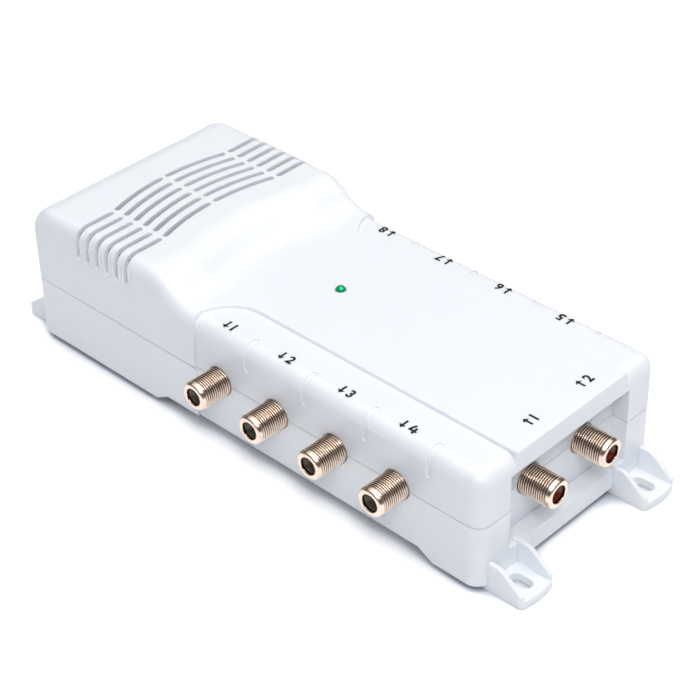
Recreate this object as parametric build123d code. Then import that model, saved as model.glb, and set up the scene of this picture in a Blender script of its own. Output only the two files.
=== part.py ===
from build123d import *
import math
import os

# Television signal amplifier with eight output sockets and two input sockets.
# X runs along the housing to the end with the input sockets, Y across it, Z up.
# The origin is under the middle of the whole part, on the surface that it stands on.

# Housing, both shells
body_length = 190.0
body_width = 80.4
wall = 2.4
corner_radius = 4.5
stand_off = 2.4
parting_height = 23.6
seam_gap = 0.2
lip_height = 1.6
lip_thickness = 1.1
lip_clearance = 0.1
overrun = 3.0

# Top of the housing
vent_height = 50.9
strip_height_share = 0.8232
panel_rise = 1.2
panel_edge_radius = 0.4
vent_edge_radius = 10.5
ramp_start = 56.5
ramp_run = 20.0
column_half_width = 24.4
bow_depth = 4.0

# Socket zone, set in from the rest of the housing
zone_start = 76.8
zone_inset = 0.8
flare_radius = 14.0

# Vent slots over the power supply
slot_count = 6
slot_width = 1.9
slot_pitch = 4.55
first_slot = 25.1
slot_bridge = 1.4
slot_drop = 10.4
rim_width = 0.8
rim_rise = 0.35

# Sockets with the standard thread of 3/8 inch
sockets_per_side = 4
socket_pitch_share = 0.212
first_socket_share = 0.091
input_spacing = 24.2
thread_radius = 4.7625
thread_reach = 11.1
thread_chamfer = 0.5
thread_clearance = 0.15
neck_radius = 4.2
mouth_radius = 3.0
mouth_chamfer = 0.2
mouth_depth = 2.2
flange_across_flats = 11.0
flange_thickness = 2.6
flange_clearance = 0.1
contact_radius = 0.7
contact_bore_radius = 0.4
contact_bore_depth = 5.0
contact_recess = 0.4
contact_tail = 4.0

# Pocket round the input sockets
pocket_depth = 5.5
pocket_half_width = 26.5
pocket_sill = 9.5
pocket_ceiling_share = 0.667

# Grooves between the output sockets
groove_width = 2.0
groove_depth = 0.5
groove_drop = 9.2
groove_reach = 5.5

# Raised middle of the underside
recess_height = 3.0
recess_start = 57.3
recess_end = 17.4
recess_slope_run = 5.3

# Fixing lugs, which hold the housing off its surface
lug_width = 14.4
lug_offset = 28.3
lug_thickness = 2.8
lug_reach = 13.2
lug_bulge = 1.2
lug_slot_width = 4.2
lug_slot_length = 7.4
lug_slot_margin = 3.3
gusset_thickness = 1.6
gusset_height = 10.3
gusset_end_height = 4.3
gusset_flat = 4.0
gusset_radius = 5.0
lug_corner_radius = 1.2
lug_edge_radius = 0.4

# Housing screws and their bosses
boss_radius = 3.9
boss_gap = 0.2
screw_radius = 1.5
screw_clearance = 0.2
screw_head_radius = 2.7
screw_head_height = 2.0
screw_recess = 4.6
screw_bite = 9.0

# Mains supply board in the tall end
supply_board_start = 12.5
supply_board_length = 58.0
supply_board_width = 60.0
board_clearance = 1.8
board_thickness = 1.6
post_radius = 2.6
post_inset = 3.2
board_screw_radius = 1.1
board_screw_head_radius = 2.2
board_screw_head_height = 1.5
board_screw_share = 0.568

# Mains transformer
core_length = 41.0
core_height_share = 0.896
core_stack = 15.0
core_limb = 7.0
core_middle_limb = 14.0
core_centre = 36.0
bobbin_foot = 1.6
bobbin_wall = 1.2
winding_build = 5.2
coil_gap = 0.4
pin_radius = 0.45

# Other parts on the supply board
fuse_radius = 2.6
fuse_length = 20.0
fuse_cap_length = 5.0
fuse_place_shares = (0.34, -0.44)
clip_width = 4.0
clip_thickness = 0.5
clip_height = 5.2
rectifier_size = (8.6, 6.4, 3.2)
rectifier_place_shares = (0.79, 0.0)
capacitor_radius = 5.0
capacitor_height = 16.0
capacitor_bead_radius = 0.5
capacitor_place_shares = ((0.84, -0.36), (0.84, -0.17))
regulator_width = 10.0
regulator_thickness = 4.4
regulator_height = 15.0
regulator_lead_height = 4.0
regulator_lead_radius = 0.4
regulator_lead_pitch = 2.54
regulator_place_shares = (0.84, 0.25)
sink_width = 16.0
sink_depth = 9.0
sink_height = 20.0
sink_plate = 1.4
sink_fin_count = 4

# Mains inlet in the wall of the tall end
inlet_width = 20.0
inlet_headroom = 1.2
inlet_length = 20.0
inlet_mouth_width = 14.6
inlet_mouth_share = 0.714
inlet_mouth_depth = 12.0
inlet_clearance = 0.15
inlet_pin_spacing = 8.6
inlet_pin_radius = 1.2
inlet_pin_reach = 9.0

# Signal board in its tinplate frame
frame_start = 78.0
frame_drop = 7.6
frame_rise_share = 0.49
tin_thickness = 0.5
contact_clearance = 0.1
lid_skirt = 3.0
lid_clearance = 0.1
frame_post_radius = 3.0
frame_post_inset = 7.0

# Parts on the signal board
ferrite_size = (6.0, 5.0, 3.6)
ferrite_bore_radius = 0.8
ferrite_wire_radius = 0.3
splitter_place_shares = (
    (0.0, 0.0), (-0.16, 0.12), (0.16, 0.12), (-0.29, -0.28), (-0.29, 0.28), (0.19, -0.28), (0.19, 0.28),
)
transistor_size = (4.6, 2.6, 1.6)
transistor_place_shares = ((0.30, 0.0), (0.37, -0.12), (0.37, 0.12))
inductor_radius = 2.6
inductor_waist_radius = 1.7
inductor_height = 4.0
inductor_flange = 0.8
inductor_place_shares = ((0.44, -0.10), (0.44, 0.10), (0.44, -0.34), (0.44, 0.34))

# Lamp
led_place_share = 0.2076
led_radius = 1.65
led_flange_radius = 2.1
led_flange_height = 1.0
led_rise = 1.3
led_clearance = 0.1
led_lead_radius = 0.25
led_lead_spacing = 1.27
spacer_radius = 2.6

# Supply leads into the tinplate frame
dc_lead_radius = 0.7
dc_lead_spacing = 5.0
dc_lead_bend = 3.0
dc_lead_arch = 4.0
feedthrough_radius = 1.6
feedthrough_thickness = 1.2
feedthrough_rise_share = 0.385

# Places worked out from the sizes above
vent_end = -body_length / 2
input_end = body_length / 2
zone_x = vent_end + zone_start
zone_length = body_length - zone_start
first_socket = zone_start + first_socket_share * zone_length
socket_pitch = socket_pitch_share * zone_length
zone_width = body_width - 2 * zone_inset
side_face = body_width / 2
strip_face = zone_width / 2
strip_height = strip_height_share * vent_height
panel_height = strip_height + panel_rise
pocket_ceiling = parting_height + pocket_ceiling_share * (strip_height - parting_height)
cover_bottom = parting_height + seam_gap
bow_radius = (column_half_width ** 2 + bow_depth ** 2) / (2 * bow_depth)
frame_gap = flange_thickness + flange_clearance
frame_face = strip_face - wall - frame_gap
frame_end = input_end - pocket_depth - wall - frame_gap
frame_x = vent_end + frame_start
frame_length = frame_end - frame_x
frame_bottom = parting_height - frame_drop
frame_top = parting_height + frame_rise_share * (strip_height - wall - parting_height)
feedthrough_height = parting_height + feedthrough_rise_share * (frame_top - parting_height)
signal_board_top = parting_height - contact_radius - contact_clearance
signal_board_bottom = signal_board_top - board_thickness
supply_board_x = vent_end + supply_board_start
supply_board_bottom = stand_off + recess_height + wall + board_clearance
supply_board_top = supply_board_bottom + board_thickness
inlet_height = parting_height - inlet_headroom - supply_board_top
inlet_mouth_height = inlet_mouth_share * inlet_height
board_screw_length = board_screw_share * (supply_board_top - stand_off)
core_base = supply_board_top + bobbin_foot
core_height = core_height_share * (vent_height - wall - core_base)
core_x = vent_end + core_centre
flange_radius = flange_across_flats / 2 / math.cos(math.pi / 6)
led_x = zone_x + led_place_share * zone_length
screw_seat = stand_off + screw_recess


# Building blocks

def slab(x_range, y_range, z_range):
    """Block between two corners, given as a range along each axis."""
    size = [high - low for low, high in (x_range, y_range, z_range)]
    middle = [(high + low) / 2 for low, high in (x_range, y_range, z_range)]
    return Pos(*middle) * Box(*size)


def post(place, radius, bottom, top):
    """Round post that stands on a place in plan."""
    x, y = place
    return Pos(x, y, bottom) * Cylinder(radius, top - bottom, align=(Align.CENTER, Align.CENTER, Align.MIN))


def joined(shapes):
    """One shape from many."""
    shapes = list(shapes)
    return shapes[0] + shapes[1:] if len(shapes) > 1 else shapes[0]


def group(shapes):
    """Separate solids kept together under one name."""
    return Compound(children=[solid for shape in shapes for solid in shape.solids()])


def both_sides(place):
    """A place in plan and its mirror image across the middle line."""
    x, y = place
    return [(x, y), (x, -y)]


def housing_plan(margin):
    """Plan outline of the housing, drawn in from the outer faces by a margin."""
    vent_part = Rectangle(zone_start - 2 * margin, body_width - 2 * margin)
    vent_part = Pos(vent_end + zone_start / 2, 0) * vent_part
    overlap = 2 * margin + corner_radius
    zone_part = Rectangle(zone_length - margin + overlap, zone_width - 2 * margin)
    zone_part = Pos(input_end - margin - (zone_length - margin + overlap) / 2, 0) * zone_part
    outline = vent_part + zone_part
    corners = outline.vertices().group_by(Axis.X)
    return fillet([*corners[0], *corners[-1]], corner_radius - margin)


def prism(sketch, bottom, top):
    """Plan sketch raised from one height to another."""
    return extrude(Pos(0, 0, bottom) * sketch, top - bottom)


def across(edges, half_width):
    """Side outline, drawn in length and height, carried across the housing."""
    return extrude(make_face(Plane.XZ * edges), half_width, both=True)


def ramp(start, high, low):
    """Two tangent arcs that lead down from one height to another."""
    middle = (start + ramp_run / 2, (high + low) / 2)
    upper = TangentArc((start, high), middle, tangent=(1, 0))
    lower = TangentArc(middle, (start + ramp_run, low), tangent=upper % 1)
    return upper + lower


def roof_outline(margin, low, start):
    """Side outline under the top of the housing, from the parting line up."""
    left = vent_end + margin
    right = input_end - margin
    high = vent_height - margin
    radius = vent_edge_radius - margin
    outline = Line((left, parting_height), (left, high - radius))
    outline += TangentArc((left, high - radius), (left + radius, high), tangent=(0, 1))
    outline += Line((left + radius, high), (start, high))
    outline += ramp(start, high, low)
    outline += Polyline((start + ramp_run, low), (right, low), (right, parting_height), (left, parting_height))
    return outline


# Top cover

def long_block(width):
    """The tall end, its ramp and the panel level, with rounded side edges."""
    block = across(roof_outline(0, panel_height, vent_end + ramp_start), width / 2)
    side_edges = [edge for edge in block.edges() if math.isclose(abs(edge.center().Y), width / 2)]
    inner_edges = [edge for edge in side_edges if edge.center().X < input_end - wall]
    top_edges = [edge for edge in inner_edges if edge.center().Z > cover_bottom + wall]
    return fillet(top_edges, corner_radius)


def zone_block(margin):
    """Socket zone up to the level of the strips, set in by a margin."""
    start = zone_x - corner_radius
    end = input_end - margin
    face = strip_face - margin
    top = strip_height - margin
    block = slab((start, end), (-face, face), (parting_height, top))
    top_edges = block.faces().sort_by(Axis.Z)[-1].edges()
    end_edges = block.faces().sort_by(Axis.X)[-1].edges().filter_by(Axis.Z)
    rounded = [edge for edge in top_edges if edge.center().X > start + wall]
    return fillet([*rounded, *end_edges], corner_radius - margin)


def panel():
    """Raised middle panel, which flares out to the sides where the strips begin."""
    length = input_end - zone_x + corner_radius
    middle = Rectangle(length, 2 * column_half_width)
    plan = Pos(input_end - length / 2, 0) * middle
    for side in (-1, 1):
        centre = Pos(zone_x + flare_radius, side * (column_half_width + flare_radius))
        square = Rectangle(2 * flare_radius, 2 * flare_radius)
        inner_square = Pos(zone_x + flare_radius / 2, side * (column_half_width + flare_radius / 2))
        flare = inner_square * Rectangle(flare_radius, flare_radius) - centre * Circle(flare_radius)
        plan += flare & centre * square
    raised = prism(plan, parting_height, panel_height)
    rim = raised.faces().sort_by(Axis.Z)[-1].edges()
    return fillet([edge for edge in rim if edge.center().X > zone_x + panel_edge_radius], panel_edge_radius)


def bowed_ramp_cut():
    """What the middle column loses where its ramp bows towards the tall end."""
    start = vent_end + ramp_start - bow_depth
    end = start + ramp_run + 2 * bow_depth
    axis_x = start + ramp_run / 2 + bow_radius
    outline = ramp(start, vent_height, panel_height)
    outline += Polyline(
        (start + ramp_run, panel_height), (end, panel_height), (end, vent_height + overrun),
        (start, vent_height + overrun), (start, vent_height),
    )
    section = make_face(Plane.XZ * outline)
    sweep_angle = math.degrees(3 * column_half_width / bow_radius)
    axis = Axis((axis_x, 0, 0), (0, 0, 1))
    cut = revolve(section, axis, revolution_arc=sweep_angle)
    cut = cut.rotate(axis, -sweep_angle / 2)
    column = slab((start - bow_radius, end + bow_radius), (-column_half_width, column_half_width),
                  (panel_height, vent_height + overrun))
    return cut & column


def slot_places():
    """Distance of each vent slot along the housing, at the sides."""
    return [vent_end + first_slot + index * slot_pitch for index in range(slot_count)]


def side_slots(width, drop):
    """Upright slots in the side walls, drawn in length and height."""
    length = drop + overrun + width
    middle = vent_height + overrun + width - length / 2
    return [Pos(x, middle) * Rot(0, 0, 90) * SlotOverall(length, width) for x in slot_places()]


def vent_slots():
    """Six slots that climb the sides, cross the top and bow in the middle column."""
    inner = column_half_width + slot_bridge / 2
    outer = side_face + overrun
    half_angle = math.degrees(math.asin(column_half_width / bow_radius))
    bridge_angle = math.degrees((slot_bridge + slot_width) / 2 / bow_radius)
    plan = []
    for x in slot_places():
        straight = Rot(0, 0, 90) * SlotOverall(outer - inner, slot_width)
        plan += [Pos(x, side * (inner + outer) / 2) * straight for side in (-1, 1)]
        centre = (x - bow_depth + bow_radius, 0)
        arc_size = half_angle - 2 * bridge_angle
        for start_angle in (180 - half_angle + bridge_angle, 180 + bridge_angle):
            arc = CenterArc(centre, bow_radius, start_angle, arc_size)
            plan.append(SlotArc(arc, slot_width))
    roof = prism(joined(plan), vent_height - wall - overrun, vent_height + overrun)
    upright = extrude(Plane.XZ * joined(side_slots(slot_width, slot_drop)), side_face + overrun, both=True)
    inside = slab((vent_end, input_end), (wall + overrun / 2 - side_face, side_face - wall - overrun / 2),
                  (0, vent_height + 2 * overrun))
    return [roof, upright - inside]


def slot_rims():
    """Thin raised rims round the slots on the side walls."""
    rims = extrude(Plane.XZ * joined(side_slots(slot_width + 2 * rim_width, slot_drop + rim_width)),
                   side_face + overrun, both=True)
    inside = slab((vent_end, input_end), (wall - side_face, side_face - wall), (0, vent_height + 2 * overrun))
    return (rims - inside) & long_block(body_width + 2 * rim_rise)


def grooves():
    """Shallow grooves that wrap over the strip edges between the output sockets."""
    bottom = strip_height - groove_drop
    upright_length = groove_drop + overrun
    uprights = []
    plans = []
    for index in range(sockets_per_side):
        x = vent_end + first_socket + (index + 0.5) * socket_pitch
        upright = Rot(0, 0, 90) * SlotOverall(upright_length, groove_width)
        uprights.append(Pos(x, bottom + upright_length / 2) * upright)
        flat_length = groove_reach + overrun
        middle = strip_face - groove_reach + flat_length / 2
        flat = Rot(0, 0, 90) * SlotOverall(flat_length, groove_width)
        plans += [Pos(x, side * middle) * flat for side in (-1, 1)]
    region = extrude(Plane.XZ * joined(uprights), side_face + overrun, both=True)
    region &= prism(joined(plans), bottom, strip_height + overrun)
    return region - zone_block(groove_depth)


def boss_places():
    """Places of the four housing screws."""
    inset = wall + boss_radius + boss_gap
    vent_places = both_sides((vent_end + inset, side_face - inset))
    return vent_places + both_sides((input_end - inset, strip_face - inset))


def frame_post_places():
    """Places of the posts that hold the tinplate frame."""
    x_places = (frame_x + frame_post_inset, frame_end - frame_post_inset)
    return [place for x in x_places for place in both_sides((x, frame_face - frame_post_inset))]


def socket_planes():
    """Seat of each socket on the tinplate frame, its axis pointing out of the housing."""
    planes = {}
    for index in range(sockets_per_side):
        x = vent_end + first_socket + index * socket_pitch
        front = Plane((x, -frame_face, parting_height), x_dir=(1, 0, 0), z_dir=(0, -1, 0))
        back = Plane((x, frame_face, parting_height), x_dir=(-1, 0, 0), z_dir=(0, 1, 0))
        planes[f"output_{index + 1}"] = front
        planes[f"output_{2 * sockets_per_side - index}"] = back
    for index, side in enumerate((-1, 1)):
        seat = (frame_end, side * input_spacing / 2, parting_height)
        planes[f"input_{index + 1}"] = Plane(seat, x_dir=(0, 1, 0), z_dir=(1, 0, 0))
    return planes


def socket_holes():
    """Round holes on the parting line for the socket threads."""
    length = frame_gap + wall + thread_reach
    hole = Cylinder(thread_radius + thread_clearance, length, align=(Align.CENTER, Align.CENTER, Align.MIN))
    return [plane.location * Pos(0, 0, frame_gap / 2) * hole for plane in socket_planes().values()]


def pocket_block(margin, bottom, top):
    """The pocket in the input end, grown by a margin."""
    start = input_end - pocket_depth - margin
    reach = pocket_half_width + margin
    return slab((start, input_end + overrun), (-reach, reach), (bottom, top))


def lip_ring(outer_margin, top):
    """Ring along the inner half of the wall, left out behind the pocket."""
    ring = prism(housing_plan(outer_margin) - housing_plan(wall), parting_height - lip_height, top)
    return ring - pocket_block(2 * wall, 0, vent_height)


def top_cover():
    """Upper shell."""
    tall_end = slab((vent_end - overrun, zone_x), (-body_width, body_width), (0, 2 * vent_height))
    block = long_block(body_width)
    cover = (block & tall_end) + (panel() & block) + zone_block(0)
    cover -= bowed_ramp_cut()
    cover += slot_rims()
    cover -= grooves()
    inner_start = vent_end + ramp_start - bow_depth - wall / 2
    cavity = across(roof_outline(wall, strip_height - wall, inner_start), side_face)
    cavity &= prism(housing_plan(wall), parting_height, vent_height)
    cavity -= pocket_block(wall, 0, vent_height)
    keep = [post(place, boss_radius, 0, vent_height) for place in boss_places()]
    keep += [post(place, frame_post_radius, frame_top + tin_thickness, vent_height) for place in frame_post_places()]
    cavity -= joined(keep)
    cover -= cavity
    cover -= pocket_block(0, 0, pocket_ceiling)
    cover -= lip_ring(wall - lip_thickness - lip_clearance, cover_bottom + lip_height)
    cover -= slab((vent_end - overrun, input_end + overrun), (-body_width, body_width), (0, cover_bottom))
    cuts = [*vent_slots(), *socket_holes()]
    cuts += [post(place, screw_radius, 0, parting_height + screw_bite + overrun) for place in boss_places()]
    cuts.append(post((led_x, 0), led_radius + led_clearance, signal_board_top, vent_height))
    return cover - cuts


# Base tray

def recess_outline(rise, shift):
    """Side outline of the raised middle of the underside."""
    start = vent_end + recess_start - shift
    end = input_end - recess_end + shift
    return Polyline(
        (start, rise), (start + recess_slope_run, rise + recess_height),
        (end - recess_slope_run, rise + recess_height), (end, rise), close=True,
    )


def lug():
    """Slotted fixing lug with two gussets, pointing along +X from the wall."""
    gusset_reach = lug_reach - lug_bulge
    half = lug_width / 2
    outline = Polyline((gusset_reach, half), (-wall, half), (-wall, -half), (gusset_reach, -half))
    outline += ThreePointArc((gusset_reach, -half), (lug_reach, 0), (gusset_reach, half))
    plan = make_face(outline)
    plan = fillet(plan.vertices().group_by(Axis.X)[-1], lug_corner_radius)
    slot_middle = lug_reach - lug_slot_margin - lug_slot_length / 2
    slot = extrude(Pos(slot_middle, 0) * SlotOverall(lug_slot_length, lug_slot_width), lug_thickness)
    plate = extrude(plan, lug_thickness)
    side = make_face(Polyline(
        (-wall, 0), (-wall, gusset_height), (gusset_flat, gusset_height),
        (gusset_reach, gusset_end_height), (gusset_reach, 0), close=True,
    ))
    shoulder = side.vertices().sort_by_distance((gusset_flat, gusset_height))[0]
    side = fillet(shoulder, gusset_radius)
    gusset = extrude(Plane.XZ * side, gusset_thickness)
    body = plate + Pos(0, half, 0) * gusset + Pos(0, gusset_thickness - half, 0) * gusset
    body &= extrude(plan, gusset_height)
    high = [edge for edge in body.edges() if edge.center().Z > lug_thickness + lug_edge_radius]
    body = fillet([edge for edge in high if edge.bounding_box().size.X > lug_edge_radius], lug_edge_radius)
    return body - slot


def lugs():
    """Two lugs on each end wall."""
    placed = []
    for side in (-1, 1):
        placed.append(Pos(input_end, side * lug_offset, 0) * lug())
        placed.append(Pos(vent_end, side * lug_offset, 0) * Rot(0, 0, 180) * lug())
    return placed


def supply_post_places():
    """Places of the posts under the supply board."""
    x_places = (supply_board_x + post_inset, supply_board_x + supply_board_length - post_inset)
    return [place for x in x_places for place in both_sides((x, supply_board_width / 2 - post_inset))]


def inlet_block(clearance):
    """Body of the mains inlet, which stands on the supply board and fills a hole in the wall."""
    half = inlet_width / 2 + clearance
    return slab((vent_end, vent_end + inlet_length), (-half, half),
                (supply_board_top - clearance, supply_board_top + inlet_height + clearance))


def base_tray():
    """Lower shell with the lugs, the bosses and the posts."""
    tray = prism(housing_plan(0), stand_off, parting_height)
    tray -= across(recess_outline(stand_off, 0), body_width)
    slope_angle = math.atan2(recess_height, recess_slope_run)
    floor = stand_off + wall
    raised_floor = across(recess_outline(floor, wall * math.tan(slope_angle / 2)), body_width)
    cavity = prism(housing_plan(wall), floor, parting_height + overrun) - raised_floor
    cavity -= pocket_block(wall, pocket_sill - wall, vent_height)
    keep = [post(place, boss_radius, 0, parting_height) for place in boss_places()]
    keep += [post(place, post_radius, 0, supply_board_bottom) for place in supply_post_places()]
    keep += [post(place, frame_post_radius, 0, frame_bottom - tin_thickness) for place in frame_post_places()]
    cavity -= joined(keep)
    tray -= cavity
    tray -= pocket_block(0, pocket_sill, vent_height)
    tray += lip_ring(wall - lip_thickness, cover_bottom + lip_height)
    tray += lugs()
    cuts = socket_holes()
    cuts += [post(place, screw_radius + screw_clearance, 0, vent_height) for place in boss_places()]
    cuts += [post(place, screw_head_radius + screw_clearance, 0, screw_seat) for place in boss_places()]
    cuts += [post(place, board_screw_radius, supply_board_top - board_screw_length, supply_board_bottom)
             for place in supply_post_places()]
    cuts.append(inlet_block(inlet_clearance) & slab((vent_end, vent_end + 2 * wall),
                                                    (-body_width, body_width), (0, vent_height)))
    return tray - cuts


def housing_screws():
    """Pan head screws, driven up from the underside."""
    screws = []
    for place in boss_places():
        head = post(place, screw_head_radius, screw_seat - screw_head_height, screw_seat)
        shank = post(place, screw_radius, screw_seat, parting_height + screw_bite)
        screws.append(head + shank)
    return group(screws)


# Sockets

def socket_barrel():
    """Threaded barrel with its neck and hexagonal flange, on the socket's own axis."""
    length = frame_gap + wall + thread_reach
    flange = extrude(RegularPolygon(flange_radius, 6), flange_thickness)
    barrel = Cylinder(thread_radius, thread_reach, align=(Align.CENTER, Align.CENTER, Align.MIN))
    barrel = Pos(0, 0, frame_gap + wall) * chamfer(barrel.edges().sort_by(Axis.Z)[-1], thread_chamfer)
    barrel += Cylinder(neck_radius, length, align=(Align.CENTER, Align.CENTER, Align.MIN))
    bore = Cylinder(mouth_radius, length, align=(Align.CENTER, Align.CENTER, Align.MIN))
    barrel = barrel + flange - bore
    mouth = barrel.edges().filter_by(GeomType.CIRCLE).group_by(Axis.Z)[-1].sort_by(SortBy.RADIUS)[0]
    return chamfer(mouth, mouth_chamfer)


def socket_insulator():
    """Insulator that fills the bore up to its sunken face and the hole in the frame."""
    top = frame_gap + wall + thread_reach - mouth_depth
    bottom = -tin_thickness
    body = Pos(0, 0, bottom) * Cylinder(mouth_radius, top - bottom, align=(Align.CENTER, Align.CENTER, Align.MIN))
    body = chamfer(body.edges().sort_by(Axis.Z)[-1], contact_recess)
    return body - Pos(0, 0, bottom) * Cylinder(contact_radius, 2 * top, align=(Align.CENTER, Align.CENTER, Align.MIN))


def socket_contact():
    """Spring contact tube with its tail over the signal board."""
    top = frame_gap + wall + thread_reach - mouth_depth - contact_recess
    bottom = -tin_thickness - contact_tail
    tube = Pos(0, 0, bottom) * Cylinder(contact_radius, top - bottom, align=(Align.CENTER, Align.CENTER, Align.MIN))
    bore = Cylinder(contact_bore_radius, contact_bore_depth, align=(Align.CENTER, Align.CENTER, Align.MAX))
    return tube - Pos(0, 0, top) * bore


# Tinplate frame and signal board

def shield_frame():
    """Wall of tinplate that holds the sockets and the signal board."""
    outer = slab((frame_x, frame_end), (-frame_face, frame_face), (frame_bottom, frame_top))
    inner_x = (frame_x + tin_thickness, frame_end - tin_thickness)
    inner_face = frame_face - tin_thickness
    frame = outer - slab(inner_x, (-inner_face, inner_face), (0, vent_height))
    hole = Cylinder(mouth_radius, 3 * tin_thickness)
    holes = [plane.location * hole for plane in socket_planes().values()]
    holes += [Pos(frame_x, y, feedthrough_height) * Rot(0, 90, 0) * Cylinder(feedthrough_radius, 2 * tin_thickness)
              for y in (-dc_lead_spacing / 2, dc_lead_spacing / 2)]
    return frame - holes


def shield_cover(seat, direction):
    """Pressed tinplate cover whose skirt fits inside the frame."""
    plate = slab((frame_x, frame_end), (-frame_face, frame_face), sorted((seat, seat + direction * tin_thickness)))
    fit = tin_thickness + lid_clearance
    skirt_z = sorted((seat, seat - direction * lid_skirt))
    outer_face = frame_face - fit
    skirt = slab((frame_x + fit, frame_end - fit), (-outer_face, outer_face), skirt_z)
    inner_face = outer_face - tin_thickness
    skirt -= slab((frame_x + fit + tin_thickness, frame_end - fit - tin_thickness), (-inner_face, inner_face), skirt_z)
    return plate + skirt


def shield_lid():
    """Upper cover of the frame, with a hole for the leads of the lamp."""
    lid = shield_cover(frame_top, 1)
    return lid - post((led_x, 0), led_lead_spacing + 2 * led_lead_radius, parting_height, vent_height)


def on_signal_board(shares):
    """Place on the signal board, from shares of the frame measured from its middle."""
    return (frame_x + frame_length / 2 + shares[0] * frame_length, shares[1] * 2 * frame_face)


def main_board():
    """Signal board, soldered into the frame."""
    fit = tin_thickness + lid_clearance
    face = frame_face - fit
    return slab((frame_x + fit, frame_end - fit), (-face, face), (signal_board_bottom, signal_board_top))


def ferrite_core():
    """Core with two bores, lying on the board."""
    length, width, height = ferrite_size
    core = Pos(0, 0, height / 2) * Box(length, width, height)
    core = fillet(core.edges().filter_by(Axis.X), ferrite_bore_radius)
    bore = Pos(0, 0, height / 2) * Rot(0, 90, 0) * Cylinder(ferrite_bore_radius, length)
    return core - [Pos(0, side * width / 4, 0) * bore for side in (-1, 1)]


def ferrite_winding():
    """One turn of wire through both bores of a core."""
    length, width, height = ferrite_size
    run = length / 2 + 2 * ferrite_wire_radius
    path = FilletPolyline((-run, -width / 4, 0), (run, -width / 4, 0), (run, width / 4, 0), (-run, width / 4, 0),
                          radius=2 * ferrite_wire_radius)
    section = Plane(origin=path @ 0, z_dir=path % 0) * Circle(ferrite_wire_radius)
    return Pos(0, 0, height / 2) * sweep(section, path)


def at_signal_places(shape, place_shares):
    """Copies of a shape on the signal board."""
    places = [on_signal_board(shares) for shares in place_shares]
    return group(Pos(x, y, signal_board_top) * shape for x, y in places)


def transistor():
    """Flat amplifier transistor."""
    length, width, height = transistor_size
    body = Pos(0, 0, height / 2) * Box(length, width, height)
    return chamfer(body.faces().sort_by(Axis.Z)[-1].edges(), height / 4)


def filter_inductor():
    """Drum shaped core with its winding in the waist."""
    outline = Polyline(
        (0, 0), (inductor_radius, 0), (inductor_radius, inductor_flange),
        (inductor_waist_radius, inductor_flange), (inductor_waist_radius, inductor_height - inductor_flange),
        (inductor_radius, inductor_height - inductor_flange), (inductor_radius, inductor_height),
        (0, inductor_height), close=True,
    )
    return revolve(make_face(Plane.XZ * outline), Axis.Z)


# Lamp

def led_lens():
    """Domed lens of the lamp, its flange under the roof."""
    roof = strip_height - wall
    top = panel_height + led_rise
    flange = post((led_x, 0), led_flange_radius, roof - led_flange_height, roof)
    body = post((led_x, 0), led_radius, roof - led_flange_height, top - led_radius)
    return flange + body + Pos(led_x, 0, top - led_radius) * Sphere(led_radius)


def led_spacer():
    """Sleeve between the lid of the frame and the lamp, round the two leads."""
    bottom = frame_top + tin_thickness
    top = strip_height - wall - led_flange_height
    sleeve = post((led_x, 0), spacer_radius, bottom, top)
    return sleeve - post((led_x, 0), led_lead_spacing + 2 * led_lead_radius, bottom, top)


def led_leads():
    """Two leads from the lamp down to the signal board."""
    top = strip_height - wall - led_flange_height
    places = ((led_x - led_lead_spacing, 0), (led_x + led_lead_spacing, 0))
    return group(post(place, led_lead_radius, signal_board_top, top) for place in places)


# Mains supply

def on_supply_board(shares):
    """Place on the supply board, from shares of its length and width."""
    return (supply_board_x + shares[0] * supply_board_length, shares[1] * supply_board_width)


def power_board():
    """Supply board on its four posts."""
    half = supply_board_width / 2
    end = supply_board_x + supply_board_length
    board = slab((supply_board_x, end), (-half, half), (supply_board_bottom, supply_board_top))
    holes = [post(place, board_screw_radius, 0, vent_height) for place in supply_post_places()]
    return board - holes


def board_screws():
    """Short screws that hold the supply board down."""
    screws = []
    for place in supply_post_places():
        head = post(place, board_screw_head_radius, supply_board_top, supply_board_top + board_screw_head_height)
        shank = post(place, board_screw_radius, supply_board_top - board_screw_length, supply_board_top)
        screws.append(head + shank)
    return group(screws)


def transformer_windows():
    """The two windows of the core, one on each side of the middle limb."""
    inner = core_middle_limb / 2
    outer = core_length / 2 - core_limb
    bottom = core_base + core_limb
    top = core_base + core_height - core_limb
    x_range = (core_x - core_stack, core_x + core_stack)
    return [slab(x_range, sorted((side * inner, side * outer)), (bottom, top)) for side in (-1, 1)]


def transformer_core():
    """Stack of laminations with two windows."""
    x_range = (core_x - core_stack / 2, core_x + core_stack / 2)
    half = core_length / 2
    stack = slab(x_range, (-half, half), (core_base, core_base + core_height))
    return stack - transformer_windows()


def coil_block(growth, z_margin):
    """Block round the middle limb, used for the bobbin and the windings."""
    x_half = core_stack / 2 + growth
    y_half = core_middle_limb / 2 + growth
    bottom = core_base + core_limb + z_margin
    top = core_base + core_height - core_limb - z_margin
    return slab((core_x - x_half, core_x + x_half), (-y_half, y_half), (bottom, top))


def transformer_bobbin():
    """Coil former with end cheeks and the feet that carry the core."""
    limb = coil_block(0, -core_limb)
    tube = coil_block(bobbin_wall, 0)
    cheeks = coil_block(bobbin_wall + winding_build, 0) - coil_block(2 * core_length, bobbin_wall)
    former = tube + cheeks - limb
    half = core_stack / 2 + bobbin_wall + winding_build
    foot_width = winding_build
    feet = []
    for side in (-1, 1):
        x_range = sorted((core_x + side * half, core_x + side * (half - foot_width)))
        y_half = core_middle_limb / 2 + bobbin_wall + winding_build
        feet.append(slab(x_range, (-y_half, y_half), (supply_board_top, core_base + core_limb + bobbin_wall)))
    return former + feet


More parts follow.
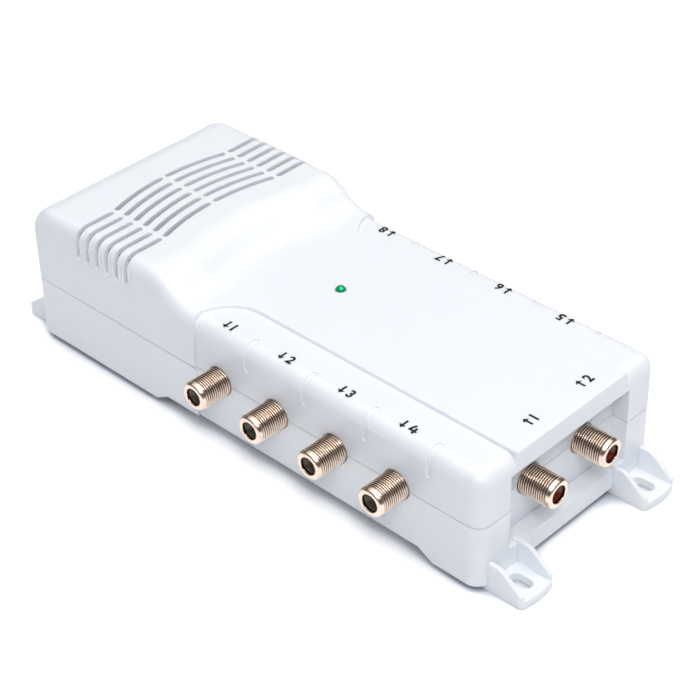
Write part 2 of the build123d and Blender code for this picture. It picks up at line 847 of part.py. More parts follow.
def transformer_windings():
    """Wire wound on the former, under its tape."""
    coil = coil_block(bobbin_wall + winding_build - coil_gap, bobbin_wall)
    coil = fillet(coil.edges().filter_by(Axis.Z), winding_build / 2)
    return coil - coil_block(bobbin_wall, 0)


def fuse_height():
    """Axis of the fuse over the supply board."""
    return supply_board_top + clip_thickness + fuse_radius


def fuse():
    """Glass fuse with metal caps."""
    x, y = on_supply_board(fuse_place_shares)
    tube = Rot(0, 90, 0) * Cylinder(fuse_radius, fuse_length)
    return Pos(x, y, fuse_height()) * tube


def fuse_clips():
    """Two spring clips that hold the fuse over the board."""
    x, y = on_supply_board(fuse_place_shares)
    clips = []
    for side in (-1, 1):
        place = x + side * (fuse_length - fuse_cap_length) / 2
        half = fuse_radius + clip_thickness
        block = slab((place - clip_width / 2, place + clip_width / 2), (y - half, y + half),
                     (supply_board_top, supply_board_top + clip_height))
        seat = Pos(place, y, fuse_height()) * Rot(0, 90, 0) * Cylinder(fuse_radius, 2 * clip_width)
        mouth = slab((place - clip_width, place + clip_width), (y - fuse_radius, y + fuse_radius),
                     (fuse_height(), fuse_height() + clip_height))
        clips.append(block - seat - mouth)
    return group(clips)


def rectifier():
    """Bridge rectifier."""
    x, y = on_supply_board(rectifier_place_shares)
    length, width, height = rectifier_size
    body = Pos(x, y, supply_board_top + height / 2) * Box(length, width, height)
    return chamfer(body.faces().sort_by(Axis.Z)[-1].edges(), height / 6)


def reservoir_capacitors():
    """Upright capacitors with rounded cans."""
    cans = []
    for shares in capacitor_place_shares:
        can = post(on_supply_board(shares), capacitor_radius, supply_board_top, supply_board_top + capacitor_height)
        cans.append(fillet(can.edges().sort_by(Axis.Z)[-1], capacitor_bead_radius))
    return group(cans)


def regulator():
    """Voltage regulator that stands on its three leads against the heat sink."""
    x, y = on_supply_board(regulator_place_shares)
    bottom = supply_board_top + regulator_lead_height
    half = regulator_width / 2
    body = slab((x - regulator_thickness, x), (y - half, y + half), (bottom, bottom + regulator_height))
    places = [(x - regulator_thickness / 2, y + index * regulator_lead_pitch) for index in (-1, 0, 1)]
    return body + [post(place, regulator_lead_radius, supply_board_top, bottom) for place in places]


def heat_sink():
    """Finned aluminium heat sink that stands on the board behind the regulator."""
    x, y = on_supply_board(regulator_place_shares)
    half = sink_width / 2
    z_range = (supply_board_top, supply_board_top + sink_height)
    sink = slab((x, x + sink_plate), (y - half, y + half), z_range)
    for index in range(sink_fin_count):
        left = y - half + index * (sink_width - sink_plate) / (sink_fin_count - 1)
        sink += slab((x, x + sink_depth), (left, left + sink_plate), z_range)
    return sink


# Mains inlet

def inlet_centre():
    """Height of the middle of the inlet."""
    return supply_board_top + inlet_height / 2


def inlet_body():
    """Moulded body of the two-pin inlet, open to the outside."""
    face = Plane((vent_end, 0, inlet_centre()), x_dir=(0, 1, 0), z_dir=(1, 0, 0))
    mouth = face * SlotOverall(inlet_mouth_width, inlet_mouth_height)
    body = inlet_block(0) - extrude(mouth, inlet_mouth_depth)
    return body - inlet_pins()


def inlet_pins():
    """Two contact pins that point out of the inlet."""
    pins = []
    for side in (-1, 1):
        back = Pos(vent_end + inlet_length, side * inlet_pin_spacing / 2, inlet_centre())
        length = inlet_length - inlet_mouth_depth + inlet_pin_reach
        pin = Rot(0, -90, 0) * Cylinder(inlet_pin_radius, length, align=(Align.CENTER, Align.CENTER, Align.MIN))
        pins.append(back * pin)
    return group(pins)


# Supply leads

def feedthroughs():
    """Round feedthroughs in the end wall of the frame."""
    disc = Rot(0, 90, 0) * Cylinder(feedthrough_radius, tin_thickness + feedthrough_thickness)
    middle = frame_x + (tin_thickness - feedthrough_thickness) / 2
    bore = Rot(0, 90, 0) * Cylinder(dc_lead_radius, 2 * (tin_thickness + feedthrough_thickness))
    places = [Pos(middle, y, feedthrough_height) for y in (-dc_lead_spacing / 2, dc_lead_spacing / 2)]
    return group(place * (disc - bore) for place in places)


def dc_leads():
    """Two insulated leads from the supply board up and into the frame."""
    start = supply_board_x + supply_board_length - post_inset
    leads = []
    for y in (-dc_lead_spacing / 2, dc_lead_spacing / 2):
        end = frame_x + tin_thickness
        path = FilletPolyline((start, y, supply_board_top), (start, y, feedthrough_height),
                              (end, y, feedthrough_height), radius=dc_lead_bend)
        section = Plane(origin=path @ 0, z_dir=path % 0) * Circle(dc_lead_radius)
        leads.append(sweep(section, path))
    return group(leads)


# The whole assembly

def assembly():
    """Every piece by its name."""
    pieces = {
        "top_cover": top_cover(),
        "base_tray": base_tray(),
        "housing_screws": housing_screws(),
        "shield_frame": shield_frame(),
        "shield_lid": shield_lid(),
        "shield_floor": shield_cover(frame_bottom, -1),
        "main_board": main_board(),
        "splitter_cores": at_signal_places(ferrite_core(), splitter_place_shares),
        "splitter_windings": at_signal_places(ferrite_winding(), splitter_place_shares),
        "amplifier_transistors": at_signal_places(transistor(), transistor_place_shares),
        "filter_inductors": at_signal_places(filter_inductor(), inductor_place_shares),
        "led_lens": led_lens(),
        "led_spacer": led_spacer(),
        "led_leads": led_leads(),
        "power_board": power_board(),
        "board_screws": board_screws(),
        "transformer_core": transformer_core(),
        "transformer_bobbin": transformer_bobbin(),
        "transformer_windings": transformer_windings(),
        "fuse": fuse(),
        "fuse_clips": fuse_clips(),
        "rectifier": rectifier(),
        "reservoir_capacitors": reservoir_capacitors(),
        "regulator": regulator(),
        "heat_sink": heat_sink(),
        "inlet_body": inlet_body(),
        "inlet_pins": inlet_pins(),
        "feedthroughs": feedthroughs(),
        "dc_leads": dc_leads(),
    }
    for name, plane in socket_planes().items():
        pieces[f"{name}_barrel"] = plane.location * socket_barrel()
        pieces[f"{name}_insulator"] = plane.location * socket_insulator()
        pieces[f"{name}_contact"] = plane.location * socket_contact()
    return pieces


os.makedirs("parts", exist_ok=True)
for node, shape in assembly().items():
    export_step(shape, f"parts/{node}.step")
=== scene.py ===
import bpy
import bmesh
import math
from mathutils import Matrix, Vector


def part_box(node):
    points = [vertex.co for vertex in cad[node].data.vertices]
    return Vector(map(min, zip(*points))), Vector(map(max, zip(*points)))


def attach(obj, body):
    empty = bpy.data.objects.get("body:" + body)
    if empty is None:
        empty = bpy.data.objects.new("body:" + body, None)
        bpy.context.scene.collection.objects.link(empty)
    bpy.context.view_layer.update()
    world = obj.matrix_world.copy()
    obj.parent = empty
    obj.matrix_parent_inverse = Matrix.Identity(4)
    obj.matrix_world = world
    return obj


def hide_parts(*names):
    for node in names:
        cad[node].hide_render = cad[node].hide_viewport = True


# Television signal amplifier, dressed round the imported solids. Lengths are in metres.
# X runs to the end with the input sockets, Y across the housing, Z up.
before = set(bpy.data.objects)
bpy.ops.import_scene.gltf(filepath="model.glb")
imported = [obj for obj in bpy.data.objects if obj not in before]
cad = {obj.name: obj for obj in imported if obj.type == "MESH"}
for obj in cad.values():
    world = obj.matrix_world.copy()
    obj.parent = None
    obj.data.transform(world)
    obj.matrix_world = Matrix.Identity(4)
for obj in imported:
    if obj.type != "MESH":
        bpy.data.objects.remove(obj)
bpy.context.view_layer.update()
mm = 0.001


# Camera
# The angle, the distance and the lens were fitted to the outlines of the housing, the sockets
# and the lugs. The frame is 700 pixels square.
azimuth = math.radians(44.352)
elevation = math.radians(36.117)
roll = math.radians(-1.302)
looked_at = Vector((9.1, -0.45, 22.4)) * mm
camera_distance = 601.9 * mm
lens_in_pixels = 1951.4
frame_pixels = 700

backwards = Vector((
    math.sin(azimuth) * math.cos(elevation),
    -math.cos(azimuth) * math.cos(elevation),
    math.sin(elevation),
))
level_right = Vector((math.cos(azimuth), math.sin(azimuth), 0))
level_up = backwards.cross(level_right)
right = level_right * math.cos(roll) + level_up * math.sin(roll)
up = level_up * math.cos(roll) - level_right * math.sin(roll)
camera_data = bpy.data.cameras.new("camera")
camera_data.lens = camera_data.sensor_width * lens_in_pixels / frame_pixels
camera_data.clip_start = 10 * mm
camera = bpy.data.objects.new("camera", camera_data)
bpy.context.scene.collection.objects.link(camera)
turn = Matrix((right, up, backwards)).transposed().to_4x4()
camera.matrix_world = Matrix.Translation(looked_at + backwards * camera_distance) @ turn
bpy.context.scene.camera = camera
bpy.context.scene.view_settings.view_transform = "Standard"


# Floor, backdrop and lights
# A pale floor that runs on to a white surrounding, and darkens only close round what stands on it, where painted
# shade adds to the real shadow.
# The main soft light hangs overhead and a weaker one stands in front on the right.
def linear(code):
    """Linear colour of a hex colour."""
    parts = [int(code[place:place + 2], 16) / 255 for place in (1, 3, 5)]
    return (*[part / 12.92 if part <= 0.04045 else ((part + 0.055) / 1.055) ** 2.4 for part in parts], 1)


def add(tree, kind, values=(), links=(), **settings):
    """One node with its settings, its input values and what feeds its inputs."""
    node = tree.nodes.new(kind)
    for name, value in settings.items():
        setattr(node, name, value)
    for name, value in dict(values).items():
        node.inputs[name].default_value = value
    for name, source in dict(links).items():
        tree.links.new(source, node.inputs[name])
    return node


def seen_share(tree):
    """One for what the camera sees, also by way of metal and glass, and zero for scattered light."""
    path = add(tree, "ShaderNodeLightPath").outputs
    seen = add(tree, "ShaderNodeMath", links={0: path["Is Camera Ray"], 1: path["Is Glossy Ray"]},
               operation="MAXIMUM").outputs[0]
    return add(tree, "ShaderNodeMath", links={0: seen, 1: path["Is Transmission Ray"]},
               operation="MAXIMUM").outputs[0]


floor_half = 1.6
floor_drop = 0.02 * mm
contact_reach = 11 * mm
glow_strength = 0.36
fade_start = 0.25
fade_end = 0.55

floor_material = bpy.data.materials.new("white paper floor")
floor_material.use_nodes = True
tree = floor_material.node_tree
tree.nodes.clear()
seen = seen_share(tree)
# Painted shade: the paper's colour turns bluish grey where the object stands near over it, and stays white where it
# lies free.
open_sky = add(tree, "ShaderNodeAmbientOcclusion", {"Distance": contact_reach}, samples=8).outputs["AO"]
free = add(tree, "ShaderNodeMapRange", {"From Min": 0.15, "From Max": 0.75}, {"Value": open_sky},
           interpolation_type="SMOOTHSTEP").outputs[0]
paper_with_painted_shade = add(tree, "ShaderNodeMix", {6: linear("#8E9AA8"), 7: linear("#FFFFFF")}, {0: free},
            data_type="RGBA").outputs[2]
colour = add(tree, "ShaderNodeMix", {6: linear("#E6E6E6")}, {0: seen, 7: paper_with_painted_shade}, data_type="RGBA").outputs[2]
paper = add(tree, "ShaderNodeBsdfDiffuse", links={"Color": colour})
# More painted shade: the glow is held back where the object stands near, as ambient occlusion finds.
seen_free = add(tree, "ShaderNodeMath", links={0: seen, 1: free}, operation="MULTIPLY").outputs[0]
glow_share = add(tree, "ShaderNodeMath", {1: glow_strength}, {0: seen_free}, operation="MULTIPLY").outputs[0]
glow = add(tree, "ShaderNodeEmission", {"Color": linear("#FFFFFF")}, {"Strength": glow_share})
paper = add(tree, "ShaderNodeAddShader", links={0: paper.outputs[0], 1: glow.outputs[0]})
# Further away it runs to plain white, so that no horizon shows.
spot = add(tree, "ShaderNodeTexCoord").outputs["Object"]
away = add(tree, "ShaderNodeVectorMath", links={0: spot}, operation="LENGTH").outputs["Value"]
far = add(tree, "ShaderNodeMapRange", {"From Min": fade_start, "From Max": fade_end}, {"Value": away},
          interpolation_type="SMOOTHSTEP").outputs[0]
seen_far = add(tree, "ShaderNodeMath", links={0: seen, 1: far}, operation="MULTIPLY").outputs[0]
white = add(tree, "ShaderNodeEmission", {"Color": linear("#FFFFFF"), "Strength": 1})
paper = add(tree, "ShaderNodeMixShader", links={0: seen_far, 1: paper.outputs[0], 2: white.outputs[0]})
add(tree, "ShaderNodeOutputMaterial", links={"Surface": paper.outputs[0]})

floor_mesh = bpy.data.meshes.new("floor")
floor_mesh.from_pydata(
    [(x * floor_half, y * floor_half, -floor_drop) for x, y in ((-1, -1), (1, -1), (1, 1), (-1, 1))],
    [], [(0, 1, 2, 3)],
)
floor_mesh.materials.append(floor_material)
floor = bpy.data.objects.new("floor", floor_mesh)
bpy.context.scene.collection.objects.link(floor)

# Bright metal mirrors a warm dark room low down and a bright ceiling overhead.
world = bpy.data.worlds.new("studio")
bpy.context.scene.world = world
world.use_nodes = True
tree = world.node_tree
tree.nodes.clear()
direction = add(tree, "ShaderNodeTexCoord").outputs["Generated"]
height = add(tree, "ShaderNodeSeparateXYZ", links={0: direction}).outputs[2]
overhead = add(tree, "ShaderNodeMapRange", {"From Min": 0.52, "From Max": 0.80}, {"Value": height},
               interpolation_type="SMOOTHSTEP").outputs[0]
room = add(tree, "ShaderNodeBackground", {"Color": linear("#63564D"), "Strength": 1})
ceiling = add(tree, "ShaderNodeBackground", {"Color": linear("#FFFFFF"), "Strength": 1.2})
mirrored = add(tree, "ShaderNodeMixShader", links={0: overhead, 1: room.outputs[0], 2: ceiling.outputs[0]})
fill = add(tree, "ShaderNodeBackground", {"Color": linear("#E2EBFF"), "Strength": 0.36})
backdrop = add(tree, "ShaderNodeBackground", {"Color": linear("#FFFFFF"), "Strength": 1})
shown = add(tree, "ShaderNodeMixShader",
            links={0: seen_share(tree), 1: fill.outputs[0], 2: backdrop.outputs[0]})
glossy = add(tree, "ShaderNodeLightPath").outputs["Is Glossy Ray"]
shown = add(tree, "ShaderNodeMixShader", links={0: glossy, 1: shown.outputs[0], 2: mirrored.outputs[0]})
add(tree, "ShaderNodeOutputWorld", links={"Surface": shown.outputs[0]})


def soft_light(name, place, size, power, tint):
    """Square soft box that faces the middle of the object."""
    data = bpy.data.lights.new(name, "AREA")
    data.size = size
    data.energy = power
    data.color = linear(tint)[:3]
    light = bpy.data.objects.new(name, data)
    bpy.context.scene.collection.objects.link(light)
    light.location = place
    light.rotation_euler = (looked_at - light.location).to_track_quat("-Z", "Y").to_euler()


soft_light("main", place=Vector((0.10, 0.16, 1.20)), size=1.1, power=9.5, tint="#FFFAF2")
soft_light("front", place=Vector((0.66, -0.58, 1.15)), size=0.45, power=7.4, tint="#FBFBFF")


# Housing
# Two shells of white ABS, injection moulded in finely blasted tools that leave a satin grain.
# The solids already have their shape. The shells meet in a fine gap, and screws from below close them.
def plain_tree(name):
    """Empty material with its object coordinates."""
    material = bpy.data.materials.new(name)
    material.use_nodes = True
    tree = material.node_tree
    tree.nodes.clear()
    return material, tree, add(tree, "ShaderNodeTexCoord").outputs["Object"]


def surface(name, light, dark, patch, grain, depth, roughness, **finish):
    """Finish of one stuff: colour that drifts over patches, and grain of a real size."""
    spread = 0.05
    material, tree, place = plain_tree(name)
    drift = add(tree, "ShaderNodeTexNoise", {"Scale": 1 / patch, "Detail": 3, "Roughness": 0.55}, {"Vector": place})
    colour = add(tree, "ShaderNodeMix", {6: linear(light), 7: linear(dark)}, {0: drift.outputs[0]},
                 data_type="RGBA")
    grains = add(tree, "ShaderNodeTexNoise", {"Scale": 1 / grain, "Detail": 2}, {"Vector": place})
    bump = add(tree, "ShaderNodeBump", {"Strength": 0.6, "Distance": depth}, {"Height": grains.outputs[0]})
    gloss = add(tree, "ShaderNodeMapRange", {"To Min": roughness - spread, "To Max": roughness + spread},
                {"Value": grains.outputs[0]})
    links = {"Base Color": colour.outputs[2], "Normal": bump.outputs[0], "Roughness": gloss.outputs[0]}
    shader = add(tree, "ShaderNodeBsdfPrincipled", finish, links)
    add(tree, "ShaderNodeOutputMaterial", links={"Surface": shader.outputs[0]})
    return material


def dress(material, *nodes):
    """Gives CAD nodes a material."""
    for node in nodes:
        for slot in cad[node].material_slots:
            slot.material = material


# ABS lets a little light through its skin, and no moulded edge is quite sharp. The shells are a cool
# white with a satin gloss. Their grain is finer, and is drawn this coarse so that it shows.
edge_rounding = 0.35 * mm
light_reach = 0.9 * mm
grain_width = 0.5 * mm
grain_depth = 0.004 * mm
white_abs, tree, place = plain_tree("satin white ABS")
drift = add(tree, "ShaderNodeTexNoise", {"Scale": 1 / (60 * mm), "Detail": 3}, {"Vector": place}).outputs[0]
colour = add(tree, "ShaderNodeMix", {6: linear("#F3F6F9"), 7: linear("#EFF3F8")}, {0: drift},
             data_type="RGBA").outputs[2]
edges = add(tree, "ShaderNodeBevel", {"Radius": edge_rounding}, samples=6).outputs[0]
grains = add(tree, "ShaderNodeTexNoise", {"Scale": 1 / grain_width, "Detail": 2}, {"Vector": place}).outputs[0]
bump = add(tree, "ShaderNodeBump", {"Strength": 0.6, "Distance": grain_depth},
           {"Height": grains, "Normal": edges}).outputs[0]
gloss = add(tree, "ShaderNodeMapRange", {"To Min": 0.28, "To Max": 0.38}, {"Value": grains}).outputs[0]
shader = add(tree, "ShaderNodeBsdfPrincipled", {
    "IOR": 1.54, "Subsurface Weight": 0.8, "Subsurface Scale": light_reach, "Subsurface Radius": (1.0, 1.0, 1.1),
}, {"Base Color": colour, "Normal": bump, "Roughness": gloss})
add(tree, "ShaderNodeOutputMaterial", links={"Surface": shader.outputs[0]})
dress(white_abs, "top_cover", "base_tray")


# Sockets
# Turned brass barrels, nickel plated, with a 3/8 inch thread of 32 turns to the inch and a rim rolled in
# over the insulator. Their flanges are soldered to the tinplate frame inside.
inch = 25.4 * mm
thread_pitch = inch / 32
thread_depth = 0.42 * mm
crest_radius = 4.7625 * mm
collar_radius = 4.55 * mm
collar_length = 1.25 * mm
tip_chamfer = 0.45 * mm
mouth_radius = 3.0 * mm
mouth_lead = 0.2 * mm
rolled_radius = 2.85 * mm
rolled_depth = 0.5 * mm
neck_radius = 4.2 * mm
flange_height = 2.6 * mm
flange_radius = 6.2 * mm
barrel_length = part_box("output_1_barrel")[1].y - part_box("output_1_barrel")[0].y
thread_reach = 11.1 * mm
thread_start = barrel_length - thread_reach
thread_end = barrel_length - collar_length
barrel_faces_round = 56
rows_per_turn = 8


def lathe(name, profile, around, closed):
    """Mesh turned about Z from a profile of radius and height, outside faces outwards."""
    shape = bmesh.new()
    rings = []
    for radius, height in profile:
        angles = [2 * math.pi * step / around for step in range(around)]
        if radius == 0:
            rings.append([shape.verts.new((0, 0, height))] * around)
        else:
            rings.append([shape.verts.new((radius * math.cos(a), radius * math.sin(a), height)) for a in angles])
    pairs = list(zip(rings, rings[1:]))
    if closed:
        pairs.append((rings[-1], rings[0]))
    for low, high in pairs:
        for step in range(around):
            after = (step + 1) % around
            corners = list(dict.fromkeys((low[step], low[after], high[after], high[step])))
            if len(corners) > 2:
                shape.faces.new(corners)
    bmesh.ops.recalc_face_normals(shape, faces=shape.faces)
    mesh = bpy.data.meshes.new(name)
    shape.to_mesh(mesh)
    shape.free()
    mesh.shade_smooth()
    return mesh


# The profile runs from the flange along the thread to a plain collar, whose chamfers guide the nut on.
row_step = thread_pitch / rows_per_turn
row_count = round((thread_end - thread_start) / row_step)
barrel_profile = [
    (mouth_radius, 0), (flange_radius, 0), (flange_radius, flange_height), (neck_radius, flange_height),
    (neck_radius, thread_start - row_step), (crest_radius - thread_depth, thread_start - row_step / 2),
]
barrel_profile += [(crest_radius, thread_start + (thread_end - thread_start) * row / row_count)
                   for row in range(row_count + 1)]
barrel_profile += [
    (collar_radius, thread_end + tip_chamfer / 3), (collar_radius, barrel_length - tip_chamfer),
    (collar_radius - tip_chamfer, barrel_length), (rolled_radius + mouth_lead, barrel_length),
    (rolled_radius, barrel_length - mouth_lead), (rolled_radius, barrel_length - rolled_depth),
    (mouth_radius, barrel_length - rolled_depth),
]
turned_barrel = lathe("plain_barrel", barrel_profile, barrel_faces_round, True)
plain_barrel = bpy.data.objects.new("plain_barrel", turned_barrel)
bpy.context.scene.collection.objects.link(plain_barrel)


def new_group(name, inputs):
    """Geometry tree with named inputs, and its group input and output nodes."""
    tree = bpy.data.node_groups.new(name, "GeometryNodeTree")
    tree.interface.new_socket("Geometry", in_out="INPUT", socket_type="NodeSocketGeometry")
    tree.interface.new_socket("Geometry", in_out="OUTPUT", socket_type="NodeSocketGeometry")
    for label, kind in inputs.items():
        tree.interface.new_socket(label, in_out="INPUT", socket_type=kind)
    return tree, add(tree, "NodeGroupInput").outputs, add(tree, "NodeGroupOutput").inputs


def grown(carrier, tree, values, name):
    """Plain mesh object that a geometry tree makes from a carrier, which is then deleted."""
    modifier = carrier.modifiers.new(name, "NODES")
    modifier.node_group = tree
    for item in tree.interface.items_tree:
        if item.item_type == "SOCKET" and item.in_out == "INPUT" and item.name in values:
            modifier[item.identifier] = values[item.name]
    evaluated = carrier.evaluated_get(bpy.context.evaluated_depsgraph_get())
    mesh = bpy.data.meshes.new_from_object(evaluated)
    mesh.name = name
    bpy.data.objects.remove(carrier)
    made = bpy.data.objects.new(name, mesh)
    bpy.context.scene.collection.objects.link(made)
    return made


# The thread is a vee cut along a helix, with rounded crests. It runs out at both ends. The points of the
# outer radius alone are moved, and an attribute tells the plating where the cut is deep and where the bore is, for
# painted shade there.
crest_share = 0.07
root_share = 0.46
# Share of painted shade inside the bore.
bore_shade_share = 0.5
radius_slack = 0.1 * mm
cut, given, result = new_group("cut thread", {
    "Pitch": "NodeSocketFloat", "Depth": "NodeSocketFloat", "Start": "NodeSocketFloat", "End": "NodeSocketFloat",
    "Run out": "NodeSocketFloat", "Outer radius": "NodeSocketFloat", "Bore radius": "NodeSocketFloat",
    "Material": "NodeSocketMaterial",
})
spot = add(cut, "ShaderNodeSeparateXYZ", links={0: add(cut, "GeometryNodeInputPosition").outputs[0]}).outputs
angle = add(cut, "ShaderNodeMath", links={0: spot[1], 1: spot[0]}, operation="ARCTAN2").outputs[0]
angle = add(cut, "ShaderNodeMath", {1: 2 * math.pi}, {0: angle}, operation="DIVIDE").outputs[0]
along = add(cut, "ShaderNodeMath", links={0: spot[2], 1: given["Pitch"]}, operation="DIVIDE").outputs[0]
phase = add(cut, "ShaderNodeMath", links={0: along, 1: angle}, operation="SUBTRACT").outputs[0]
wave = add(cut, "ShaderNodeMath", {1: 0.5}, {0: phase}, operation="PINGPONG").outputs[0]
vee = add(cut, "ShaderNodeMapRange", {"From Min": crest_share, "From Max": root_share}, {"Value": wave},
          interpolation_type="SMOOTHSTEP").outputs[0]
first = add(cut, "ShaderNodeMath", links={0: spot[2], 1: given["Start"]}, operation="SUBTRACT").outputs[0]
last = add(cut, "ShaderNodeMath", links={0: given["End"], 1: spot[2]}, operation="SUBTRACT").outputs[0]
inside = add(cut, "ShaderNodeMath", links={0: first, 1: last}, operation="MINIMUM").outputs[0]
fade = add(cut, "ShaderNodeMath", links={0: inside, 1: given["Run out"]}, operation="DIVIDE",
           use_clamp=True).outputs[0]
plan = add(cut, "ShaderNodeCombineXYZ", links={0: spot[0], 1: spot[1]}).outputs[0]
radius = add(cut, "ShaderNodeVectorMath", links={0: plan}, operation="LENGTH").outputs["Value"]
outer = add(cut, "ShaderNodeMath", {2: radius_slack}, {0: radius, 1: given["Outer radius"]},
            operation="COMPARE").outputs[0]
share = add(cut, "ShaderNodeMath", links={0: vee, 1: fade}, operation="MULTIPLY").outputs[0]
share = add(cut, "ShaderNodeMath", links={0: share, 1: outer}, operation="MULTIPLY").outputs[0]
sink = add(cut, "ShaderNodeMath", links={0: share, 1: given["Depth"]}, operation="MULTIPLY").outputs[0]
sink = add(cut, "ShaderNodeMath", {1: -1}, {0: sink}, operation="MULTIPLY").outputs[0]
outwards = add(cut, "ShaderNodeVectorMath", links={0: plan}, operation="NORMALIZE").outputs[0]
move = add(cut, "ShaderNodeVectorMath", links={0: outwards, "Scale": sink}, operation="SCALE").outputs[0]
bore = add(cut, "ShaderNodeMath", links={0: radius, 1: given["Bore radius"]}, operation="LESS_THAN").outputs[0]
bore = add(cut, "ShaderNodeMath", {1: bore_shade_share}, {0: bore}, operation="MULTIPLY").outputs[0]
painted_shade_share = add(cut, "ShaderNodeMath", links={0: share, 1: bore}, operation="MAXIMUM").outputs[0]
# Mask of painted shade for the plating: the thread roots, and the bore at half strength.
marked = add(cut, "GeometryNodeStoreNamedAttribute", {"Name": "groove"},
             {"Geometry": given["Geometry"], "Value": painted_shade_share}, data_type="FLOAT", domain="POINT").outputs[0]
moved = add(cut, "GeometryNodeSetPosition", links={"Geometry": marked, "Offset": move}).outputs[0]
whole = add(cut, "GeometryNodeRealizeInstances", links={0: moved}).outputs[0]
finished = add(cut, "GeometryNodeSetMaterial", links={"Geometry": whole, "Material": given["Material"]})
cut.links.new(finished.outputs[0], result["Geometry"])

# Bright nickel over brass, its warm tone drifting in patches. Painted shade: the thread roots and the inside of the
# bore are darkened to a deep brown.
nickel, tree, place = plain_tree("bright nickel plate")
groove = add(tree, "ShaderNodeAttribute", attribute_name="groove").outputs["Fac"]
plate_noise = add(tree, "ShaderNodeTexNoise", {"Scale": 1 / (1.4 * mm), "Detail": 4}, {"Vector": place}).outputs[0]
# The painted shade in the roots is a little deeper in some patches than in others.
shade_depth = add(tree, "ShaderNodeMapRange", {"From Min": 0.3, "From Max": 0.7, "To Min": 0.72, "To Max": 1.0},
            {"Value": plate_noise}).outputs[0]
root = add(tree, "ShaderNodeMath", links={0: groove, 1: shade_depth}, operation="MULTIPLY").outputs[0]
plate = add(tree, "ShaderNodeMix", {6: linear("#EADED1"), 7: linear("#CBB39F")}, {0: plate_noise},
            data_type="RGBA").outputs[2]
# Painted shade: a deep brown where the mask is set.
colour = add(tree, "ShaderNodeMix", {7: linear("#38190B")}, {0: root, 6: plate}, data_type="RGBA").outputs[2]
gloss = add(tree, "ShaderNodeMapRange", {"To Min": 0.18, "To Max": 0.30}, {"Value": plate_noise}).outputs[0]
shader = add(tree, "ShaderNodeBsdfPrincipled", {"Metallic": 1.0}, {"Base Color": colour, "Roughness": gloss})
add(tree, "ShaderNodeOutputMaterial", links={"Surface": shader.outputs[0]})

threaded = grown(plain_barrel, cut, {
    "Pitch": thread_pitch, "Depth": thread_depth, "Start": thread_start, "End": thread_end,
    "Run out": thread_pitch / 2, "Outer radius": crest_radius, "Bore radius": mouth_radius + mouth_lead / 10,
    "Material": nickel,
}, "threaded_barrel")

# Every socket is the same turned part, set on its own axis.
place_all, given, result = new_group("set in place", {
    "Piece": "NodeSocketObject", "Material": "NodeSocketMaterial",
})
piece = add(place_all, "GeometryNodeObjectInfo", {"As Instance": True},
            {"Object": given["Piece"]}).outputs["Geometry"]
heading = add(place_all, "GeometryNodeInputNamedAttribute", {"Name": "outwards"},
              data_type="FLOAT_VECTOR").outputs[0]
aligned = add(place_all, "FunctionNodeAlignRotationToVector", links={"Vector": heading}, axis="Z").outputs[0]
spread = add(place_all, "GeometryNodeInstanceOnPoints",
             links={"Points": given["Geometry"], "Instance": piece, "Rotation": aligned}).outputs[0]
whole = add(place_all, "GeometryNodeRealizeInstances", links={0: spread}).outputs[0]
finished = add(place_all, "GeometryNodeSetMaterial", links={"Geometry": whole, "Material": given["Material"]})
place_all.links.new(finished.outputs[0], result["Geometry"])


def set_in_places(name, piece, places, material):
    """Copies of a piece at places, each given as a point and the way that it points."""
    mesh = bpy.data.meshes.new(name + "_places")
    mesh.from_pydata([point for point, way in places], [], [])
    mesh.attributes.new("outwards", "FLOAT_VECTOR", "POINT")
    mesh.attributes["outwards"].data.foreach_set("vector", [part for point, way in places for part in way])
    carrier = bpy.data.objects.new(name + "_places", mesh)
    bpy.context.scene.collection.objects.link(carrier)
    made = grown(carrier, place_all, {"Piece": piece, "Material": material}, name)
    bpy.data.objects.remove(piece)
    made.data.materials.clear()
    made.data.materials.append(material)
    for face in made.data.polygons:
        face.material_index = 0
    return made


def keep(piece, slot, *nodes):
    """A piece that rides on the housing and stands for CAD nodes. The slot is not used."""
    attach(piece, "root")
    if nodes:
        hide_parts(*nodes)


socket_names = [f"output_{number}" for number in range(1, 9)] + ["input_1", "input_2"]


def socket_place(name, part, end):
    """Point on a socket's axis at the inner or outer end of one of its parts, and the way out."""
    low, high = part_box(name + part)
    middle = (low + high) / 2
    if name.startswith("input"):
        way = Vector((1, 0, 0))
    else:
        way = Vector((0, math.copysign(1, middle.y), 0))
    half = abs((high - low).dot(way)) / 2
    return middle + way * half * end, way


barrel_places = [socket_place(name, "_barrel", -1) for name in socket_names]
barrels = set_in_places("socket_barrels", threaded, barrel_places, nickel)
keep(barrels, "nickel", *[name + "_barrel" for name in socket_names])

# Each insulator is turned from acetal, which takes a waxy gloss: dark brown in the outputs, red brown in
# the inputs. Its funnel leads a bare wire into the sprung tube, and its thin lip lines the mouth.
insulator_length = (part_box("output_1_insulator")[1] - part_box("output_1_insulator")[0]).y
lip_rise = 1.3 * mm
lip_width = 0.35 * mm
funnel_radius = mouth_radius - lip_width
funnel_foot = 1.5 * mm
funnel_depth = 0.5 * mm
tube_radius = 0.7 * mm
insulator_faces_round = 40
insulator_profile = [
    (tube_radius, 0), (mouth_radius, 0), (mouth_radius, insulator_length + lip_rise - lip_width),
    (mouth_radius - lip_width / 2, insulator_length + lip_rise),
    (funnel_radius, insulator_length + lip_rise - lip_width / 2),
    (funnel_foot, insulator_length - funnel_depth / 2), (tube_radius, insulator_length - funnel_depth),
]
brown_acetal = surface("dark brown acetal", "#6C5F4E", "#0C0705", 0.9 * mm, 0.2 * mm, 0.005 * mm, 0.28, IOR=1.48)
red_acetal = surface("red brown acetal", "#8A3016", "#240803", 0.9 * mm, 0.2 * mm, 0.005 * mm, 0.22, IOR=1.48)
